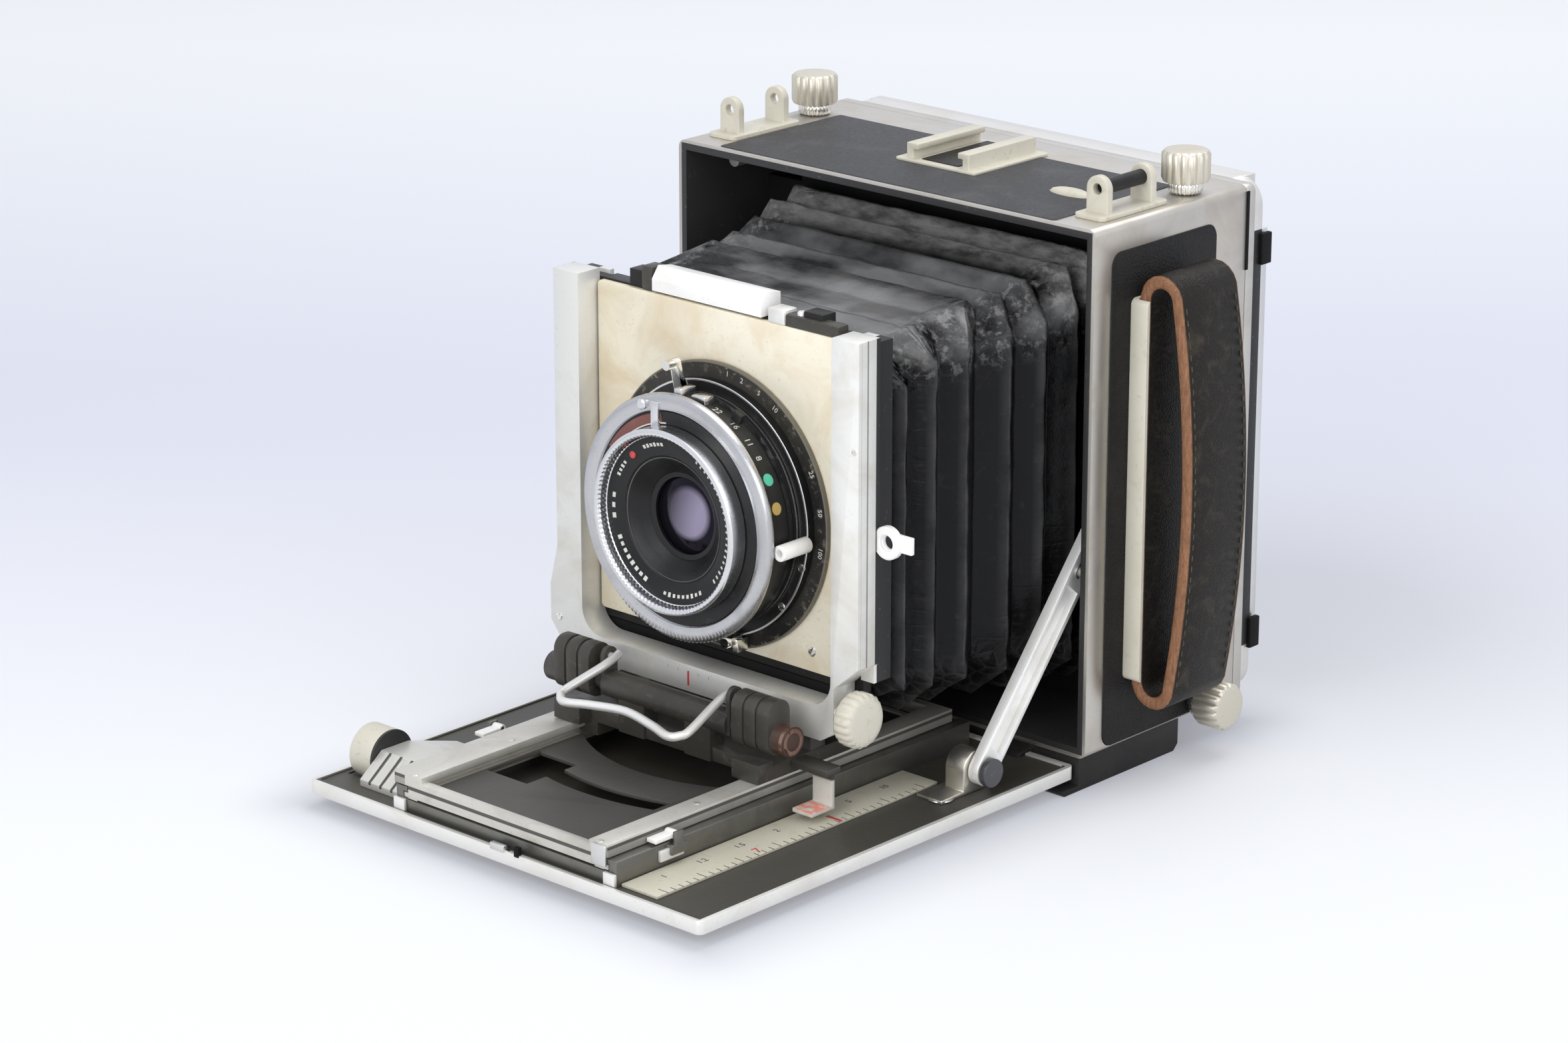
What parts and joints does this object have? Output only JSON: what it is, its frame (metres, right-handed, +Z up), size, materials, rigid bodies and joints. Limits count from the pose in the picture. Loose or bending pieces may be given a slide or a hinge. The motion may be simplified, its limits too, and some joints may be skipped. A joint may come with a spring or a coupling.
{
  "type": "folding technical camera",
  "caption": "Folding metal plate camera with drop bed, focusing track, bellows, U-shaped lens standard, leaf shutter, hand strap and a revolving ground-glass back.",
  "frame": {"origin": "mouth of the tripod socket in the underside of the base block", "axes": "+Z up, -Y towards the subject in front of the lens, +X to the side that has the hand strap"},
  "size_m": [0.195, 0.243, 0.1798],
  "materials": {
    "silver_metal": "satin anodised",
    "black_metal": "satin black, anodised",
    "nickel": "brushed",
    "chrome": "polished",
    "steel": "plain steel",
    "board_metal": "brushed cream-silver",
    "black_leather": "grained black leather",
    "bellows_leather": "thin creased black leather",
    "ivory_metal": "ivory enamel",
    "dark_grey": "semi-matt dark grey lacquer",
    "grip_black": "black, knurled",
    "brass": "plain brass",
    "glass": "coated optical glass",
    "matt_glass": "finely ground"
  },
  "bodies": {
    "housing": {"body_shell": "silver_metal", "base_block": "black_metal", "tripod_bush": "steel", "leather_panels": "black_leather", "accessory_shoe": "nickel", "strap_lugs": "nickel", "lug_rod": "black_metal", "strap_plate": "nickel", "hand_strap": "black_leather", "bellows_rear_frame": "black_metal", "bellows": "bellows_leather", "hinge_pins": "steel"},
    "release_button": {"bed_release_button": "nickel"},
    "back_slider": {"back_frame": "silver_metal", "back_rods": "steel"},
    "knob_top_left": {"back_knob_top_left": "nickel"},
    "knob_top_right": {"back_knob_top_right": "nickel"},
    "knob_low_left": {"back_knob_low_left": "nickel"},
    "knob_low_right": {"back_knob_low_right": "nickel"},
    "rotator": {"revolving_back": "silver_metal"},
    "glass_holder": {"ground_glass_frame": "black_metal", "ground_glass": "matt_glass"},
    "hood": {"hood_panel": "silver_metal"},
    "bed": {"bed_plate": "dark_grey", "bed_rails": "dark_grey", "scale_strip": "ivory_metal", "stay_pivots": "nickel", "focus_housing": "silver_metal"},
    "left_stay": {"stay_left": "steel"},
    "right_stay": {"stay_right": "steel"},
    "focus_wheel": {"focus_knob": "nickel"},
    "track": {"focus_track": "silver_metal"},
    "left_stop": {"infinity_stop_left": "ivory_metal"},
    "right_stop": {"infinity_stop_right": "ivory_metal"},
    "carriage_body": {"carriage": "black_metal", "focus_pointer": "chrome"},
    "left_grip": {"grip_left": "grip_black"},
    "right_grip": {"grip_right": "grip_black"},
    "bail": {"bail_handle": "chrome"},
    "shift_frame": {"u_frame": "nickel", "cable_lug": "ivory_metal"},
    "shift_knob": {"shift_lock_knob": "ivory_metal"},
    "lens_carrier": {"carrier_plate": "black_metal", "lens_board": "board_metal", "recess_plate": "black_metal", "shutter_body": "black_metal", "flash_socket": "nickel", "front_lens_cell": "nickel", "rear_lens_cell": "black_metal", "lens_glass": "glass"},
    "latch": {"board_latch": "nickel"},
    "speed_dial": {"speed_ring": "nickel"},
    "aperture_dial": {"aperture_ring": "black_metal"},
    "cocking": {"cocking_lever": "chrome"},
    "release": {"release_lever": "chrome"},
    "blade_1": {"iris_blade_1": "steel"},
    "blade_2": {"iris_blade_2": "steel"},
    "blade_3": {"iris_blade_3": "steel"},
    "blade_4": {"iris_blade_4": "steel"},
    "blade_5": {"iris_blade_5": "steel"}
  },
  "joints": [
    {"name": "release_press", "type": "slide", "parent": "housing", "child": "release_button", "axis": [0, 0, -1], "range_m": [0, 0.0012], "stiffness_N_per_m": 400, "springref_m": -0.002},
    {"name": "back_extension", "type": "slide", "parent": "housing", "child": "back_slider", "axis": [0, 1, 0], "range_m": [0, 0.025]},
    {"name": "top_left_lock", "type": "hinge", "parent": "housing", "child": "knob_top_left", "pos_m": [-0.0715, 0.032, 0.167], "axis": [0, 0, 1], "range_deg": [0, 90]},
    {"name": "top_right_lock", "type": "hinge", "parent": "housing", "child": "knob_top_right", "pos_m": [0.0715, 0.032, 0.167], "axis": [0, 0, 1], "range_deg": [0, 90]},
    {"name": "low_left_lock", "type": "hinge", "parent": "housing", "child": "knob_low_left", "pos_m": [-0.08, 0.032, 0.0154], "axis": [1, 0, 0], "range_deg": [0, 90]},
    {"name": "low_right_lock", "type": "hinge", "parent": "housing", "child": "knob_low_right", "pos_m": [0.08, 0.032, 0.0154], "axis": [1, 0, 0], "range_deg": [0, 90]},
    {"name": "back_turn", "type": "hinge", "parent": "back_slider", "child": "rotator", "pos_m": [0, 0.053, 0.0885], "axis": [0, 1, 0], "range_deg": [0, 90]},
    {"name": "glass_lift", "type": "slide", "parent": "rotator", "child": "glass_holder", "axis": [0, 1, 0], "range_m": [0, 0.005], "stiffness_N_per_m": 600, "springref_m": -0.008},
    {"name": "hood_open", "type": "hinge", "parent": "glass_holder", "child": "hood", "pos_m": [0, 0.0652, 0.1465], "axis": [1, 0, 0], "range_deg": [0, 100]},
    {"name": "bed_drop", "type": "hinge", "parent": "housing", "child": "bed", "pos_m": [0, -0.0222, 0.006], "axis": [1, 0, 0], "range_deg": [0, 15], "deforming": ["bellows"]},
    {"name": "left_stay_swing", "type": "hinge", "parent": "bed", "child": "left_stay", "pos_m": [-0.0707, -0.0535, 0.0145], "axis": [1, 0, 0], "range_deg": [-13, 0]},
    {"name": "right_stay_swing", "type": "hinge", "parent": "bed", "child": "right_stay", "pos_m": [0.0707, -0.0535, 0.0145], "axis": [1, 0, 0], "range_deg": [-13, 0]},
    {"name": "focus_travel", "type": "slide", "parent": "bed", "child": "track", "axis": [0, -1, 0], "range_m": [0, 0.04], "deforming": ["bellows"]},
    {"name": "focus_turn", "type": "hinge", "parent": "bed", "child": "focus_wheel", "pos_m": [-0.06, -0.156, 0.0126], "axis": [1, 0, 0], "range_deg": [0, 970]},
    {"name": "left_stop_flip", "type": "hinge", "parent": "bed", "child": "left_stop", "pos_m": [-0.058, -0.119, 0.0126], "axis": [1, 0, 0], "range_deg": [-90, 0]},
    {"name": "right_stop_flip", "type": "hinge", "parent": "bed", "child": "right_stop", "pos_m": [0.042, -0.151, 0.0165], "axis": [1, 0, 0], "range_deg": [-90, 0]},
    {"name": "carriage_slide", "type": "slide", "parent": "track", "child": "carriage_body", "axis": [0, -1, 0], "range_m": [-0.02, 0.02], "deforming": ["bellows"]},
    {"name": "left_squeeze", "type": "slide", "parent": "carriage_body", "child": "left_grip", "axis": [1, 0, 0], "range_m": [0, 0.0022], "stiffness_N_per_m": 500, "springref_m": -0.002},
    {"name": "right_squeeze", "type": "slide", "parent": "carriage_body", "child": "right_grip", "axis": [-1, 0, 0], "range_m": [0, 0.0022], "stiffness_N_per_m": 500, "springref_m": -0.002},
    {"name": "bail_swing", "type": "hinge", "parent": "carriage_body", "child": "bail", "pos_m": [0, -0.107, 0.04], "axis": [-1, 0, 0], "range_deg": [-20, 60]},
    {"name": "front_shift", "type": "slide", "parent": "carriage_body", "child": "shift_frame", "axis": [1, 0, 0], "range_m": [-0.008, 0.008], "deforming": ["bellows"]},
    {"name": "shift_lock", "type": "hinge", "parent": "shift_frame", "child": "shift_knob", "pos_m": [0.046, -0.091, 0.0365], "axis": [1, 0, 0], "range_deg": [0, 90]},
    {"name": "front_rise", "type": "slide", "parent": "shift_frame", "child": "lens_carrier", "axis": [0, 0, 1], "range_m": [0, 0.03], "deforming": ["bellows"]},
    {"name": "latch_lift", "type": "slide", "parent": "lens_carrier", "child": "latch", "axis": [0, 0, 1], "range_m": [0, 0.0035]},
    {"name": "speed_turn", "type": "hinge", "parent": "lens_carrier", "child": "speed_dial", "pos_m": [0, -0.099, 0.086], "axis": [0, 1, 0], "range_deg": [0, 300]},
    {"name": "aperture_turn", "type": "hinge", "parent": "lens_carrier", "child": "aperture_dial", "pos_m": [0, -0.099, 0.086], "axis": [0, -1, 0], "range_deg": [0, 40]},
    {"name": "cocking_swing", "type": "hinge", "parent": "lens_carrier", "child": "cocking", "pos_m": [0, -0.099, 0.086], "axis": [0, 1, 0], "range_deg": [0, 35], "stiffness_Nm_per_rad": 0.4, "springref_deg": -8.02},
    {"name": "release_swing", "type": "hinge", "parent": "lens_carrier", "child": "release", "pos_m": [0, -0.099, 0.086], "axis": [0, 1, 0], "range_deg": [0, 12], "stiffness_Nm_per_rad": 0.4, "springref_deg": -8.02},
    {"name": "blade_1_swing", "type": "hinge", "parent": "lens_carrier", "child": "blade_1", "pos_m": [0.0185, -0.09, 0.086], "axis": [0, -1, 0], "range_deg": [0, 35]},
    {"name": "blade_2_swing", "type": "hinge", "parent": "lens_carrier", "child": "blade_2", "pos_m": [0.00572, -0.09, 0.0684], "axis": [0, -1, 0], "range_deg": [0, 35]},
    {"name": "blade_3_swing", "type": "hinge", "parent": "lens_carrier", "child": "blade_3", "pos_m": [-0.01497, -0.09, 0.07513], "axis": [0, -1, 0], "range_deg": [0, 35]},
    {"name": "blade_4_swing", "type": "hinge", "parent": "lens_carrier", "child": "blade_4", "pos_m": [-0.01497, -0.09, 0.09687], "axis": [0, -1, 0], "range_deg": [0, 35]},
    {"name": "blade_5_swing", "type": "hinge", "parent": "lens_carrier", "child": "blade_5", "pos_m": [0.00572, -0.09, 0.1036], "axis": [0, -1, 0], "range_deg": [0, 35]}
  ],
  "couplings": [
    {"joint": "left_stay_swing", "follows": "bed_drop", "ratio": -0.762},
    {"joint": "right_stay_swing", "follows": "bed_drop", "ratio": -0.762},
    {"joint": "focus_turn", "follows": "focus_travel", "rad_per_m": 416.67},
    {"joint": "blade_1_swing", "follows": "aperture_turn", "ratio": 0.8},
    {"joint": "blade_2_swing", "follows": "aperture_turn", "ratio": 0.8},
    {"joint": "blade_3_swing", "follows": "aperture_turn", "ratio": 0.8},
    {"joint": "blade_4_swing", "follows": "aperture_turn", "ratio": 0.8},
    {"joint": "blade_5_swing", "follows": "aperture_turn", "ratio": 0.8}
  ]
}
